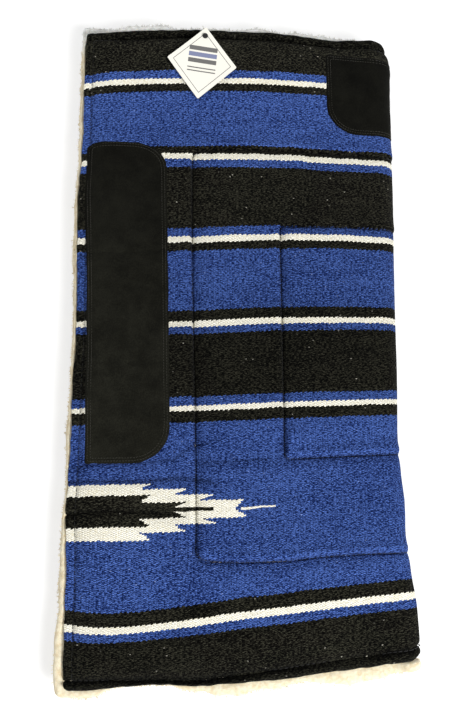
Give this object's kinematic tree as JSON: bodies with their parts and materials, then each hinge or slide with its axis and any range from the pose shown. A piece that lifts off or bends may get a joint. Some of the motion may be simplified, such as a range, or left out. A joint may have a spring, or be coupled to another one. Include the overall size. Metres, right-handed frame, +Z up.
{
  "type": "saddle blanket",
  "caption": "Folded western saddle blanket: striped woven cover, felt core, fleece lining, suede wear leathers, opening flat along its spine, with a bare hang tag.",
  "frame": {"origin": "centre of the folded pad's footprint, on the floor that the off half's cover lies on", "axes": "+X towards the spine fold, +Y towards the front edge over the withers, +Z up"},
  "size_m": [0.407, 0.833, 0.0439],
  "materials": {
    "woven_cover": "blue and black stripes in a thick plain weave, with narrow cream stripes",
    "felt_core": "dense grey felt",
    "fleece_lining": "cream synthetic fleece",
    "black_suede": "black suede, rough side out",
    "tag_card": "bare coated card",
    "black_plastic": "moulded black plastic"
  },
  "bodies": {
    "off_half": {"off_cover": "woven_cover", "off_core": "felt_core", "off_fleece": "fleece_lining", "off_side_leather": "black_suede", "off_withers_leather": "black_suede"},
    "spine_1": {"spine_1_cover": "woven_cover", "spine_1_core": "felt_core", "spine_1_fleece": "fleece_lining", "spine_1_withers_leather": "black_suede"},
    "spine_2": {"spine_2_cover": "woven_cover", "spine_2_core": "felt_core", "spine_2_fleece": "fleece_lining", "spine_2_withers_leather": "black_suede"},
    "spine_3": {"spine_3_cover": "woven_cover", "spine_3_core": "felt_core", "spine_3_fleece": "fleece_lining", "spine_3_withers_leather": "black_suede"},
    "near_half": {"near_cover": "woven_cover", "near_core": "felt_core", "near_fleece": "fleece_lining", "near_side_leather": "black_suede", "near_withers_leather": "black_suede", "tag_fastener": "black_plastic"},
    "tag": {"hang_tag": "tag_card"}
  },
  "joints": [
    {"name": "fold_1", "type": "hinge", "parent": "off_half", "child": "spine_1", "pos_m": [0.19285, 0, 0.00104], "axis": [0, 1, 0], "range_deg": [0, 45]},
    {"name": "fold_2", "type": "hinge", "parent": "spine_1", "child": "spine_2", "pos_m": [0.20396, 0, 0.01215], "axis": [0, 1, 0], "range_deg": [0, 45]},
    {"name": "fold_3", "type": "hinge", "parent": "spine_2", "child": "spine_3", "pos_m": [0.20396, 0, 0.02785], "axis": [0, 1, 0], "range_deg": [0, 45]},
    {"name": "fold_4", "type": "hinge", "parent": "spine_3", "child": "near_half", "pos_m": [0.19285, 0, 0.03896], "axis": [0, 1, 0], "range_deg": [0, 45]},
    {"name": "tag_swing", "type": "hinge", "parent": "near_half", "child": "tag", "pos_m": [-0.04, 0.3935, 0.04101], "axis": [0, 0, 1], "range_deg": [-60, 60]}
  ],
  "couplings": [
    {"joint": "fold_1", "follows": "fold_4", "ratio": 1},
    {"joint": "fold_2", "follows": "fold_4", "ratio": 1},
    {"joint": "fold_3", "follows": "fold_4", "ratio": 1}
  ]
}
